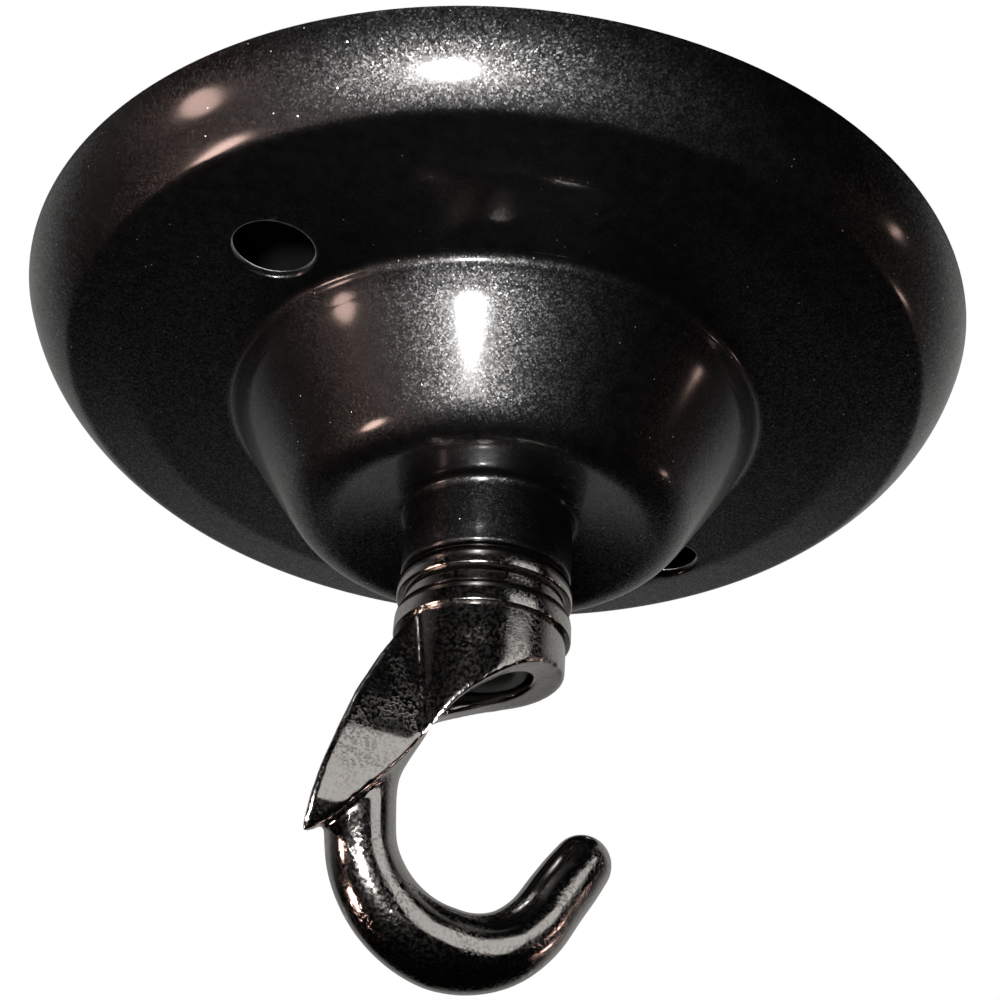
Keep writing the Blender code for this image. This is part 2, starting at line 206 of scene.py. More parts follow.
def draw_line(name, points):
    """A line of edges through points in millimetres, drawn by extruding its last vertex."""
    item = start_line(name, points[0])
    for here, there in zip(points, points[1:]):
        step = (Vector(there) - Vector(here)) * MM
        bpy.ops.mesh.extrude_region_move(TRANSFORM_OT_translate={"value": step})
    return item


def weld_all():
    """Selects the whole mesh and merges the points that lie on each other."""
    bpy.ops.mesh.select_all(action="SELECT")
    bpy.ops.mesh.remove_doubles(threshold=WELD_DISTANCE)


def face_outward():
    """Turns every face of the edited mesh outward and leaves edit mode."""
    bpy.ops.mesh.select_all(action="SELECT")
    bpy.ops.mesh.normals_make_consistent(inside=False)
    object_mode()


def turned(name, outline, steps, angle=TAU):
    """A closed outline of (radius, z) points in millimetres, spun about the Z axis into a solid."""
    loop = [(radius, 0.0, z) for radius, z in outline]
    item = draw_line(name, loop + loop[:1])
    weld_all()
    bpy.ops.mesh.spin(steps=steps, angle=angle, center=(0, 0, 0), axis=(0, 0, 1))
    weld_all()
    if angle < TAU:
        bpy.ops.mesh.fill_holes(sides=0)
    face_outward()
    return item


def extruded_outline(name, outline, depth):
    """A flat outline of points in millimetres, filled and extruded by a vector in millimetres."""
    item = draw_line(name, outline)
    bpy.ops.mesh.select_all(action="SELECT")
    bpy.ops.mesh.edge_face_add()
    bpy.ops.mesh.extrude_region_move(TRANSFORM_OT_translate={"value": Vector(depth) * MM})
    face_outward()
    return item


def apply_modifier(item, kind, **settings):
    select_only(item)
    change = item.modifiers.new(kind.lower(), kind)
    for setting, value in settings.items():
        setattr(change, setting, value)
    bpy.ops.object.modifier_apply(modifier=change.name)


def combine(item, tool, operation):
    """Cuts, joins or intersects the item with a tool, which is used up."""
    apply_modifier(item, "BOOLEAN", operation=operation, solver="EXACT", object=tool)
    bpy.data.objects.remove(tool, do_unlink=True)


def move_vertices(item, rule):
    """Moves every vertex to where the rule puts it."""
    for vertex in item.data.vertices:
        vertex.co = rule(vertex.co)
    item.data.update()


def finish_piece(item, material, body, nodes, angle=32.0):
    """Applies the piece's place, shades it, and hangs it on its body in place of its plain nodes."""
    select_only(item)
    bpy.ops.object.transform_apply(location=True, rotation=True, scale=True)
    bpy.ops.object.shade_smooth_by_angle(angle=math.radians(angle))
    item.data.materials.clear()
    item.data.materials.append(material)
    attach(item, body)
    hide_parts(*nodes)
    if len(item.data.vertices) == 0:
        raise RuntimeError(item.name + " came out empty")


# ---------------------------------------------------------------- shader groups

def new_group(name, inputs, outputs):
    """An empty node group with named sockets; returns its tree, input node and output node."""
    tree = bpy.data.node_groups.new(name, "ShaderNodeTree")
    for label, kind, value in inputs:
        socket = tree.interface.new_socket(name=label, in_out="INPUT", socket_type=kind)
        if value is not None:
            socket.default_value = value
    for label, kind in outputs:
        tree.interface.new_socket(name=label, in_out="OUTPUT", socket_type=kind)
    return tree, tree.nodes.new("NodeGroupInput"), tree.nodes.new("NodeGroupOutput")


def feed(tree, sockets, sources):
    """Sets each socket to a plain value, or links it to another node's output."""
    for socket, source in zip(sockets, sources):
        if isinstance(source, (int, float, tuple)):
            socket.default_value = source
        else:
            tree.links.new(source, socket)


def math_node(tree, operation, *sources):
    node = tree.nodes.new("ShaderNodeMath")
    node.operation = operation
    feed(tree, node.inputs, sources)
    return node.outputs[0]


def vector_node(tree, operation, *sources):
    node = tree.nodes.new("ShaderNodeVectorMath")
    node.operation = operation
    feed(tree, node.inputs, sources)
    return node


def noise(tree, position, scale, detail=2.0, roughness=0.5):
    node = tree.nodes.new("ShaderNodeTexNoise")
    sockets = [node.inputs[label] for label in ("Vector", "Scale", "Detail", "Roughness")]
    feed(tree, sockets, (position, scale, detail, roughness))
    return node.outputs["Fac"]


def ranged(tree, value, low, high, to_low, to_high):
    node = tree.nodes.new("ShaderNodeMapRange")
    feed(tree, node.inputs, (value, low, high, to_low, to_high))
    return node.outputs[0]


def mixed(tree, factor, first, second):
    node = tree.nodes.new("ShaderNodeMix")
    node.data_type = "RGBA"
    feed(tree, (node.inputs[0], node.inputs[6], node.inputs[7]), (factor, first, second))
    return node.outputs[2]


def flake_group():
    """Metal flakes in a paint: each small cell leans its own way, and a few are bright."""
    tree, source, sink = new_group(
        "Metal Flakes",
        [("Position", "NodeSocketVector", None), ("Flakes Per Metre", "NodeSocketFloat", 5200.0),
         ("Bright Share", "NodeSocketFloat", 0.012), ("Lean", "NodeSocketFloat", 0.3)],
        [("Bright", "NodeSocketFloat"), ("Tone", "NodeSocketFloat"), ("Normal", "NodeSocketVector")])
    cells = tree.nodes.new("ShaderNodeTexVoronoi")
    tree.links.new(source.outputs["Position"], cells.inputs["Vector"])
    tree.links.new(source.outputs["Flakes Per Metre"], cells.inputs["Scale"])
    parts = tree.nodes.new("ShaderNodeSeparateColor")
    tree.links.new(cells.outputs["Color"], parts.inputs["Color"])
    level = math_node(tree, "SUBTRACT", 1.0, source.outputs["Bright Share"])
    chosen = math_node(tree, "GREATER_THAN", parts.outputs["Red"], level)
    core = math_node(tree, "LESS_THAN", cells.outputs["Distance"], 0.42)
    tree.links.new(math_node(tree, "MULTIPLY", chosen, core), sink.inputs["Bright"])
    tree.links.new(parts.outputs["Green"], sink.inputs["Tone"])
    centred = vector_node(tree, "SUBTRACT", cells.outputs["Color"], (0.5, 0.5, 0.5))
    leaning = vector_node(tree, "SCALE", centred.outputs[0])
    tree.links.new(source.outputs["Lean"], leaning.inputs["Scale"])
    surface = tree.nodes.new("ShaderNodeNewGeometry")
    together = vector_node(tree, "ADD", surface.outputs["Normal"], leaning.outputs[0])
    unit = vector_node(tree, "NORMALIZE", together.outputs[0])
    tree.links.new(unit.outputs[0], sink.inputs["Normal"])
    return tree


def casting_group():
    """The skin of a plated casting: fine pits, soft mottling and a few smooth patches."""
    tree, source, sink = new_group(
        "Cast Skin",
        [("Position", "NodeSocketVector", None), ("Pits Per Metre", "NodeSocketFloat", 2600.0),
         ("Dark", "NodeSocketColor", (0.1, 0.1, 0.1, 1)),
         ("Light", "NodeSocketColor", (0.4, 0.4, 0.4, 1)),
         ("Smooth Roughness", "NodeSocketFloat", 0.1), ("Pitted Roughness", "NodeSocketFloat", 0.3)],
        [("Color", "NodeSocketColor"), ("Roughness", "NodeSocketFloat"), ("Height", "NodeSocketFloat")])
    position = source.outputs["Position"]
    pits = noise(tree, position, source.outputs["Pits Per Metre"], 3.0, 0.62)
    deep = ranged(tree, pits, 0.34, 0.5, 0.0, 1.0)
    waves = noise(tree, position, 520.0, 2.0)
    patches = ranged(tree, noise(tree, position, 230.0, 1.0), 0.44, 0.62, 0.08, 1.0)
    relief = math_node(tree, "MULTIPLY", deep, patches)
    tree.links.new(math_node(tree, "MULTIPLY_ADD", waves, 0.9, relief), sink.inputs["Height"])
    tone = ranged(tree, math_node(tree, "MULTIPLY", deep, ranged(tree, waves, 0.3, 0.7, 0.6, 1.0)),
                  0.2, 0.95, 0.0, 1.0)
    colour = mixed(tree, tone, source.outputs["Dark"], source.outputs["Light"])
    tree.links.new(colour, sink.inputs["Color"])
    tree.links.new(ranged(tree, pits, 0.4, 0.62, source.outputs["Pitted Roughness"],
                          source.outputs["Smooth Roughness"]), sink.inputs["Roughness"])
    return tree


def plating_group():
    """Zinc plate over machined steel: turning marks round the axis, mottled passivate."""
    tree, source, sink = new_group(
        "Zinc Plate",
        [("Position", "NodeSocketVector", None), ("Marks Per Metre", "NodeSocketFloat", 5000.0),
         ("Base", "NodeSocketColor", (0.6, 0.6, 0.6, 1)),
         ("Tint", "NodeSocketColor", (0.5, 0.5, 0.45, 1))],
        [("Color", "NodeSocketColor"), ("Roughness", "NodeSocketFloat"), ("Height", "NodeSocketFloat")])
    position = source.outputs["Position"]
    parts = tree.nodes.new("ShaderNodeSeparateXYZ")
    tree.links.new(position, parts.inputs[0])
    square = math_node(tree, "MULTIPLY", parts.outputs[0], parts.outputs[0])
    radius = math_node(tree, "SQRT", math_node(tree, "MULTIPLY_ADD", parts.outputs[1],
                                               parts.outputs[1], square))
    place = tree.nodes.new("ShaderNodeCombineXYZ")
    tree.links.new(radius, place.inputs[0])
    tree.links.new(parts.outputs[2], place.inputs[2])
    marks = noise(tree, place.outputs[0], source.outputs["Marks Per Metre"], 2.0)
    mottle = noise(tree, position, 420.0, 3.0)
    tree.links.new(mixed(tree, ranged(tree, mottle, 0.38, 0.62, 0.0, 1.0), source.outputs["Base"],
                         source.outputs["Tint"]), sink.inputs["Color"])
    tree.links.new(ranged(tree, math_node(tree, "ADD", marks, mottle), 0.7, 1.3, 0.22, 0.42),
                   sink.inputs["Roughness"])
    tree.links.new(marks, sink.inputs["Height"])
    return tree


def edge_wear_group():
    """Where the finish is thin on raised edges, broken up by fine noise."""
    tree, source, sink = new_group(
        "Edge Wear",
        [("Position", "NodeSocketVector", None), ("Level", "NodeSocketFloat", 0.53),
         ("Spread", "NodeSocketFloat", 0.03)],
        [("Mask", "NodeSocketFloat")])
    surface = tree.nodes.new("ShaderNodeNewGeometry")
    grain = noise(tree, source.outputs["Position"], 1800.0, 2.0)
    shifted = math_node(tree, "MULTIPLY_ADD", grain, 0.03, surface.outputs["Pointiness"])
    top = math_node(tree, "ADD", source.outputs["Level"], source.outputs["Spread"])
    tree.links.new(ranged(tree, shifted, source.outputs["Level"], top, 0.0, 1.0), sink.inputs["Mask"])
    return tree


def dust_group():
    """Fine dust that lies on faces that look up."""
    tree, source, sink = new_group(
        "Dust",
        [("Position", "NodeSocketVector", None), ("Amount", "NodeSocketFloat", 0.3)],
        [("Mask", "NodeSocketFloat")])
    surface = tree.nodes.new("ShaderNodeNewGeometry")
    parts = tree.nodes.new("ShaderNodeSeparateXYZ")
    tree.links.new(surface.outputs["Normal"], parts.inputs[0])
    up = ranged(tree, parts.outputs[2], 0.2, 1.0, 0.0, 1.0)
    specks = ranged(tree, noise(tree, source.outputs["Position"], 1500.0, 4.0), 0.4, 0.7, 0.2, 1.0)
    amount = math_node(tree, "MULTIPLY", specks, source.outputs["Amount"])
    tree.links.new(math_node(tree, "MULTIPLY", up, amount), sink.inputs["Mask"])
    return tree


GROUP_MAKERS = {"Metal Flakes": flake_group, "Cast Skin": casting_group, "Zinc Plate": plating_group,
                "Edge Wear": edge_wear_group, "Dust": dust_group}


def use_group(tree, name, position, **values):
    """Places a shared group in a material with its own values, built on first use."""
    node = tree.nodes.new("ShaderNodeGroup")
    node.node_tree = bpy.data.node_groups.get(name) or GROUP_MAKERS[name]()
    tree.links.new(position, node.inputs["Position"])
    for label, value in values.items():
        node.inputs[label.replace("_", " ")].default_value = value
    return node


def new_material(name, **constants):
    """A Principled material with constants on its own sockets; returns it, its tree, shader and place."""
    made = bpy.data.materials.new(name)
    made.use_nodes = True
    tree = made.node_tree
    shader = tree.nodes["Principled BSDF"]
    for label, value in constants.items():
        shader.inputs[label.replace("_", " ")].default_value = value
    position = tree.nodes.new("ShaderNodeTexCoord").outputs["Object"]
    return made, tree, shader, position


def opaque(colour, factor=1.0):
    """A colour setting with an alpha of one, its parts times one factor or three."""
    factors = factor if isinstance(factor, tuple) else (factor,) * 3
    return tuple(min(1.0, part * share) for part, share in zip(colour, factors)) + (1,)


def dusted(tree, position, colour, amount, dust=DUST):
    """The colour with dust lying on it."""
    layer = use_group(tree, "Dust", position, Amount=amount)
    return mixed(tree, layer.outputs["Mask"], colour, dust)


def bump(tree, height, distance, normal=None):
    node = tree.nodes.new("ShaderNodeBump")
    node.inputs["Strength"].default_value = 1.0
    node.inputs["Distance"].default_value = distance
    tree.links.new(height, node.inputs["Height"])
    if normal is not None:
        tree.links.new(normal, node.inputs["Normal"])
    return node.outputs["Normal"]


def powder_coat(colours):
    """Satin black coat with fine metal flakes under a glossier skin."""
    made, tree, shader, position = new_material(
        "powder_coat", Metallic=1.0, Coat_Weight=0.5, Coat_Roughness=0.13, Coat_IOR=1.45)
    flakes = use_group(tree, "Metal Flakes", position, Flakes_Per_Metre=6500.0, Bright_Share=0.0008,
                       Lean=0.26)
    tone = ranged(tree, flakes.outputs["Tone"], 0.0, 1.0, 0.2, 1.0)
    black = mixed(tree, tone, opaque(colours.coat, 0.4), opaque(colours.coat))
    colour = mixed(tree, flakes.outputs["Bright"], black, opaque(colours.flake))
    tree.links.new(dusted(tree, position, colour, 0.03, COAT_DUST), shader.inputs["Base Color"])
    peel = noise(tree, position, 700.0, 1.0)
    tree.links.new(ranged(tree, peel, 0.3, 0.7, 0.36, 0.42), shader.inputs["Roughness"])
    tree.links.new(bump(tree, peel, 0.000006, flakes.outputs["Normal"]), shader.inputs["Normal"])
    return made


def black_nickel(colours, name, pits, depth):
    """Glossy dark nickel plate over a cast skin, thin and paler on its edges."""
    made, tree, shader, position = new_material(name, Metallic=1.0)
    skin = use_group(tree, "Cast Skin", position, Pits_Per_Metre=pits,
                     Dark=opaque(colours.nickel, 0.86), Light=opaque(colours.nickel),
                     Smooth_Roughness=0.08, Pitted_Roughness=0.17)
    wear = use_group(tree, "Edge Wear", position, Level=0.53, Spread=0.05)
    colour = mixed(tree, wear.outputs["Mask"], skin.outputs["Color"], opaque(colours.nickel, 1.7))
    tree.links.new(colour, shader.inputs["Base Color"])
    tree.links.new(skin.outputs["Roughness"], shader.inputs["Roughness"])
    tree.links.new(bump(tree, skin.outputs["Height"], depth), shader.inputs["Normal"])
    return made


def zinc_plate(name, base, tint, marks):
    made, tree, shader, position = new_material(name, Metallic=1.0)
    plate = use_group(tree, "Zinc Plate", position, Marks_Per_Metre=marks, Base=base, Tint=tint)
    wear = use_group(tree, "Edge Wear", position, Level=0.54, Spread=0.05)
    colour = mixed(tree, wear.outputs["Mask"], plate.outputs["Color"], (0.82, 0.82, 0.8, 1))
    tree.links.new(dusted(tree, position, colour, 0.18), shader.inputs["Base Color"])
    tree.links.new(plate.outputs["Roughness"], shader.inputs["Roughness"])
    tree.links.new(bump(tree, plate.outputs["Height"], 0.000012), shader.inputs["Normal"])
    return made


def moulded_nylon():
    made, tree, shader, position = new_material("moulded_nylon", Metallic=0.0)
    grain = noise(tree, position, 2600.0, 3.0)
    cloud = noise(tree, position, 300.0, 2.0)
    colour = mixed(tree, cloud, (0.018, 0.018, 0.018, 1), (0.045, 0.044, 0.043, 1))
    tree.links.new(dusted(tree, position, colour, 0.15), shader.inputs["Base Color"])
    tree.links.new(ranged(tree, grain, 0.3, 0.7, 0.38, 0.58), shader.inputs["Roughness"])
    tree.links.new(bump(tree, grain, 0.00001), shader.inputs["Normal"])
    return made


# ---------------------------------------------------------------- settings

class HookPlateSizes(bpy.types.PropertyGroup):
    plate_radius: bpy.props.FloatProperty(
        name="Plate radius", description="Radius of the canopy's rim at the ceiling",
        default=CANOPY_HIGH.x, unit="LENGTH", precision=4)
    sheet: bpy.props.FloatProperty(
        name="Sheet thickness", description="Thickness of the pressed steel",
        default=SHEET * MM, unit="LENGTH", precision=4)
    hole_flare: bpy.props.FloatProperty(
        name="Hole edge", description="Radius of the painted edge round a fixing hole",
        default=HOLE_FLARE * MM, unit="LENGTH", precision=5)
    thread_pitch: bpy.props.FloatProperty(
        name="Thread pitch", description="Travel of the hollow tube's thread in one turn",
        default=THREAD_PITCH * MM, unit="LENGTH", precision=4)
    cast_voxel: bpy.props.FloatProperty(
        name="Casting detail", description="Size of the cells that shape the cast hook",
        default=0.00021, unit="LENGTH", precision=5)
    cast_softness: bpy.props.IntProperty(
        name="Casting softness", description="How far the casting's edges are rounded",
        default=24, min=0, max=60)


class HookPlateColours(bpy.types.PropertyGroup):
    coat: bpy.props.FloatVectorProperty(
        name="Powder coat", description="Colour of the canopy's coat",
        default=(0.017, 0.017, 0.0172), size=3, subtype="COLOR", min=0, max=1)
    flake: bpy.props.FloatVectorProperty(
        name="Flakes", description="Colour of the brightest flakes in the coat",
        default=(0.75, 0.75, 0.76), size=3, subtype="COLOR", min=0, max=1)
    nickel: bpy.props.FloatVectorProperty(
        name="Black nickel", description="Colour of the hook's plating",
        default=(0.34, 0.328, 0.315), size=3, subtype="COLOR", min=0, max=1)
    zinc: bpy.props.FloatVectorProperty(
        name="Zinc", description="Colour of the nut and washers",
        default=(0.66, 0.67, 0.67), size=3, subtype="COLOR", min=0, max=1)
    yellow_zinc: bpy.props.FloatVectorProperty(
        name="Yellow zinc", description="Colour of the threaded tube",
        default=(0.66, 0.57, 0.36), size=3, subtype="COLOR", min=0, max=1)
    floor: bpy.props.FloatVectorProperty(
        name="Floor", description="Colour of the plain floor",
        default=(0.8, 0.8, 0.79), size=3, subtype="COLOR", min=0, max=1)


# ---------------------------------------------------------------- canopy

def canopy_outline(radius, sheet):
    """The closed section of the canopy's wall: down its outer side, and back up the inner one."""
    start = math.radians(RIM_ARC_START)
    centre = (radius - RIM_ARC_RADIUS * math.cos(start), -RIM_ARC_RADIUS * math.sin(start))
    rim = arc(centre, RIM_ARC_RADIUS, RIM_ARC_START, RIM_ARC_END, 22)
    crease = Vector(rim[-1])
    slope = (Vector(DISC_SLOPE_END) - crease).normalized()
    into_disc = bend((rim[-2], crease, crease + slope * 0.6), 4)
    level = bend((Vector(DISC_SLOPE_END), ((DISC_SLOPE_END[0] + DISC_RADIUS) / 2, DISC_Z),
                  (DISC_RADIUS, DISC_Z)), 3)
    neck_end = CANOPY_LOW.z / MM
    tip = bend(((NECK_RADIUS, neck_end + NECK_EDGE), (NECK_RADIUS, neck_end),
                (NECK_RADIUS - NECK_EDGE, neck_end)), 5)
    outer = (rim[:-2] + into_disc + level + bend(FOOT, 8) + bend(WALL, 6) + bend(SHOULDER, 14)
             + bend(ROOT, 8) + tip + [(THREAD_HOLE_RADIUS, neck_end)])
    inner = offset(outer, sheet)
    inner[0] = (radius - sheet / math.cos(start), 0.0)
    inner[-1] = (THREAD_HOLE_RADIUS, neck_end + sheet)
    inner = [point for point in inner if point[0] >= THREAD_HOLE_RADIUS and point[1] <= 0.0]
    edge = sheet * 0.15
    top = [(inner[0][0] + edge, 0.0), (radius - edge, 0.0), (radius - edge * 0.2, -edge)]
    return outer[1:] + list(reversed(inner)) + top


def hole_cutter(name, angle, flare):
    """A punch for a fixing hole that leaves both of the sheet's edges rounded."""
    low, high = DISC_Z, DISC_Z + SHEET
    side = [(HOLE_RADIUS + flare, low - 3), (HOLE_RADIUS + flare, low - 0.02)]
    side += bend(((HOLE_RADIUS + flare, low), (HOLE_RADIUS, low), (HOLE_RADIUS, low + flare)), 5)
    side += bend(((HOLE_RADIUS, high - flare), (HOLE_RADIUS, high), (HOLE_RADIUS + flare, high)), 5)
    side += [(HOLE_RADIUS + flare, high + 3)]
    cutter = turned(name, [(0.0, low - 3)] + side + [(0.0, high + 3)], 64)
    reach = HOLE_CENTRES / 2 * MM
    cutter.location = (reach * math.cos(angle), reach * math.sin(angle), 0)
    return cutter


class HOOKPLATE_OT_canopy(bpy.types.Operator):
    """Builds the pressed canopy with its two fixing holes"""
    bl_idname = "hook_plate.canopy"
    bl_label = "Canopy"

    def execute(self, context):
        sizes, colours = context.scene.hook_plate_sizes, context.scene.hook_plate_colours
        canopy = turned("pressed_canopy", canopy_outline(sizes.plate_radius / MM, sizes.sheet / MM), 224)
        for name, angle in (("near_punch", HOLE_ANGLE), ("far_punch", HOLE_ANGLE + math.pi)):
            combine(canopy, hole_cutter(name, angle, sizes.hole_flare / MM), "DIFFERENCE")
        finish_piece(canopy, powder_coat(colours), "plate", ["canopy"])
        return {"FINISHED"}


# ---------------------------------------------------------------- lock ring and hook

def bead_side(top_land, top, end):
    """The outer side of a collar bead: soft chamfer, straight band and a crisp lower edge."""
    radius = COLLAR_RADIUS
    soft = bend(((top_land, top), (radius - 0.02, top - 0.35), (radius, top - 1.1)), 7)
    return soft + bend(((radius, end + 0.2), (radius, end), (radius - 0.22, end)), 4)


class HOOKPLATE_OT_lock_ring(bpy.types.Operator):
    """Builds the ring that locks the hook on the tube"""
    bl_idname = "hook_plate.lock_ring"
    bl_label = "Lock Ring"

    def execute(self, context):
        top, end = RING_HIGH.z / MM, RING_LOW.z / MM
        mouth = THREAD_HOLE_RADIUS + BORE_CHAMFER
        outline = [(mouth, top)] + bead_side(COLLAR_TOP_LAND, top, end)
        outline += [(mouth, end), (THREAD_HOLE_RADIUS, end + BORE_CHAMFER),
                    (THREAD_HOLE_RADIUS, top - BORE_CHAMFER)]
        ring = turned("locking_ring", outline, 192)
        finish = black_nickel(context.scene.hook_plate_colours, "black_nickel_turned", 3600.0, 0.000009)
        finish_piece(ring, finish, "collar", ["lock_ring"])
        return {"FINISHED"}


def leaf_section(z, edge_x, half_width):
    """One level section of the leaf: a flat front face, a crisp edge and a slanted outer side."""
    root_front, front = Vector((LEAF_ROOT_X, -half_width)), Vector((edge_x, -half_width))
    back = Vector((edge_x + LEAF_SLANT * half_width, LEAF_BACK * half_width))
    root_back = Vector((LEAF_ROOT_X, half_width))
    outline = [root_front]
    corners = ((root_front, front, back, LEAF_EDGE), (front, back, root_back, 2 * LEAF_EDGE))
    for before, corner, after, radius in corners:
        reach = min(radius, half_width * 0.4)
        outline += bend((corner + (before - corner).normalized() * reach, corner,
                         corner + (after - corner).normalized() * reach), 5)
    outline.append(root_back)
    return [Vector((point[0], point[1], z)) * MM for point in outline]


def make_leaf():
    """The leaf: its top section is filled, extruded downwards, and reshaped at each level."""
    sections = [leaf_section(*section) for section in LEAF_SECTIONS]
    leaf = draw_line("leaf_blank", [point / MM for point in sections[0]])
    bpy.ops.mesh.select_all(action="SELECT")
    bpy.ops.mesh.edge_face_add()
    for above, below in zip(sections, sections[1:]):
        drop = Vector((0, 0, below[0].z - above[0].z))
        bpy.ops.mesh.extrude_region_move(TRANSFORM_OT_translate={"value": drop})
        form = bmesh.from_edit_mesh(leaf.data)
        for vertex in (v for v in form.verts if v.select):
            nearest = min(range(len(above)), key=lambda i: (above[i] + drop - vertex.co).length)
            vertex.co = below[nearest]
        bmesh.update_edit_mesh(leaf.data)
    face_outward()
    return leaf


def bar_radius(along):
    for (start, first), (end, second) in zip(BAR_STATIONS, BAR_STATIONS[1:]):
        if along <= end:
            return first + (second - first) * (along - start) / (end - start)
    return BAR_STATIONS[-1][1]


def make_bar():
    """The bent bar: a path curve with its own radius at each point and a round tip."""
    turn = arc(BEND_CENTRE, BEND_RADII, 180, 360 + ARM_START, 6)
    middle = tuple((a + b) / 2 for a, b in zip(turn[-1], TIP_CENTRE))
    points = spline([LEG_TOP, LEG_MIDDLE] + turn + [middle, TIP_CENTRE], 9)
    last = len(points) - 1
    radii = [bar_radius(index / last) for index in range(len(points))]
    direction = (Vector(points[-1]) - Vector(points[-2])).normalized()
    tip = radii[-1]
    for angle in (math.radians(9 * step) for step in range(1, 10)):
        points.append(tuple(Vector(TIP_CENTRE) + direction * tip * math.sin(angle)))
        radii.append(tip * math.cos(angle))
    bpy.ops.object.select_all(action="DESELECT")
    bpy.ops.curve.primitive_nurbs_path_add(location=(0, 0, 0))
    bar = bpy.context.object
    bar.name = "bar_blank"
    bar.data.splines.clear()
    line = bar.data.splines.new("POLY")
    line.points.add(len(points) - 1)
    for knot, (x, z), radius in zip(line.points, points, radii):
        knot.co = (x * MM, 0.0, z * MM, 1.0)
        knot.radius = radius
    bar.data.bevel_depth = MM
    bar.data.bevel_resolution = 10
    bar.data.use_fill_caps = True
    select_only(bar)
    bpy.ops.object.convert(target="MESH")
    bar = bpy.context.object
    edit(bar)
    weld_all()
    face_outward()
    return bar


def make_lip_cutter():
    """Everything under the slanted lip of the hook's head."""
    outline = spline(LIP_CURVE, 8)
    side, depth, half = 22.0, -75.0, 15.0
    outline += [(-side, outline[-1][1] + 1.0), (-side, depth), (side, depth),
                (side, outline[0][1] + 1.5)]
    return extruded_outline("lip_blank", [(x, -half, z) for x, z in outline], (0, 2 * half, 0))


def plain_rod(name, radius, top, end):
    """A plain turned rod, used to shape other pieces."""
    return turned(name, [(0.0, top), (radius, top), (radius, end), (0.0, end)], 96)


class HOOKPLATE_OT_hook(bpy.types.Operator):
    """Builds the cast hook: threaded boss with its bead, leaf, slanted lip and bent bar"""
    bl_idname = "hook_plate.hook"
    bl_label = "Hook"

    def execute(self, context):
        sizes = context.scene.hook_plate_sizes
        hook = plain_rod("cast_hook", BOSS_RADIUS, BEAD_END_Z + 1.2, BOSS_END_Z)
        combine(hook, make_leaf(), "UNION")
        combine(hook, make_lip_cutter(), "DIFFERENCE")
        combine(hook, make_bar(), "UNION")
        combine(hook, plain_rod("bore", THREAD_HOLE_RADIUS, BEAD_END_Z + 3, BORE_END_Z), "DIFFERENCE")
        apply_modifier(hook, "REMESH", mode="VOXEL", voxel_size=sizes.cast_voxel)
        apply_modifier(hook, "SMOOTH", factor=0.5, iterations=sizes.cast_softness)
        combine(hook, plain_rod("top_trim", 12.0, -20.0, BEAD_END_Z + 0.5), "DIFFERENCE")
        top = HOOK_HIGH.z / MM
        outline = [(THREAD_HOLE_RADIUS + BORE_CHAMFER, top), (GROOVE_RADIUS - 0.15, top),
                   (GROOVE_RADIUS, top - 0.15), (GROOVE_RADIUS, BEAD_TOP_Z)]
        outline += bead_side(COLLAR_TOP_LAND, BEAD_TOP_Z, BEAD_END_Z)
        bore, root = THREAD_HOLE_RADIUS - 0.1, BEAD_END_Z - 0.35
        outline += [(BOSS_RADIUS - 0.25, BEAD_END_Z), (BOSS_RADIUS - 0.6, root), (bore, root),
                    (bore, top - 0.5)]
        combine(hook, turned("collar_bead", outline, 192), "UNION")
        hook.rotation_euler = (0, 0, HOOK_YAW)
        finish = black_nickel(context.scene.hook_plate_colours, "black_nickel_cast", 3000.0, 0.000010)
        finish_piece(hook, finish, "hook", ["hook"], angle=40.0)
        return {"FINISHED"}


# ---------------------------------------------------------------- tube, nut, washers, bushes

class HOOKPLATE_OT_tube(bpy.types.Operator):
    """Builds the hollow tube with its outside thread"""
    bl_idname = "hook_plate.tube"
    bl_label = "Threaded Tube"

    def execute(self, context):
        pitch = context.scene.hook_plate_sizes.thread_pitch
        radius, top, end = TUBE_HIGH.x, TUBE_HIGH.z, TUBE_LOW.z
        rings = int((top - end) / pitch * 10)
        outer = [(radius / MM, (top + (end - top) * i / rings) / MM) for i in range(rings + 1)]
        bore, mouth = TUBE_BORE_RADIUS, TUBE_BORE_RADIUS + TUBE_CHAMFER
        inner = [(mouth, end / MM), (bore, end / MM + TUBE_CHAMFER), (bore, top / MM - TUBE_CHAMFER),
                 (mouth, top / MM)]
        tube = turned("hollow_tube", outer + inner, 72)

        def thread(place):
            if math.hypot(place.x, place.y) < THREAD_REACH * MM:
                return place
            angle = math.atan2(place.y, place.x)
            phase = ((place.z - end) / pitch - angle / TAU) % 1.0
            ridge = min(1.0, max(0.0, 2.4 * (1 - abs(2 * phase - 1)) - 0.5))
            fade = min(1.0, (place.z - end) / pitch, (top - place.z) / pitch)
            depth = THREAD_DEPTH * MM * ((1 - ridge) if fade > 0.99 else 1 - ridge * max(0.0, fade))
            shrink = (radius - depth) / math.hypot(place.x, place.y)
            return Vector((place.x * shrink, place.y * shrink, place.z))

        move_vertices(tube, thread)
        colours = context.scene.hook_plate_colours
        finish = zinc_plate("yellow_zinc", opaque(colours.yellow_zinc),
                            opaque(colours.yellow_zinc, (0.95, 0.78, 0.62)), 3000.0)
        finish_piece(tube, finish, "plate", ["threaded_tube"], angle=60.0)
        return {"FINISHED"}


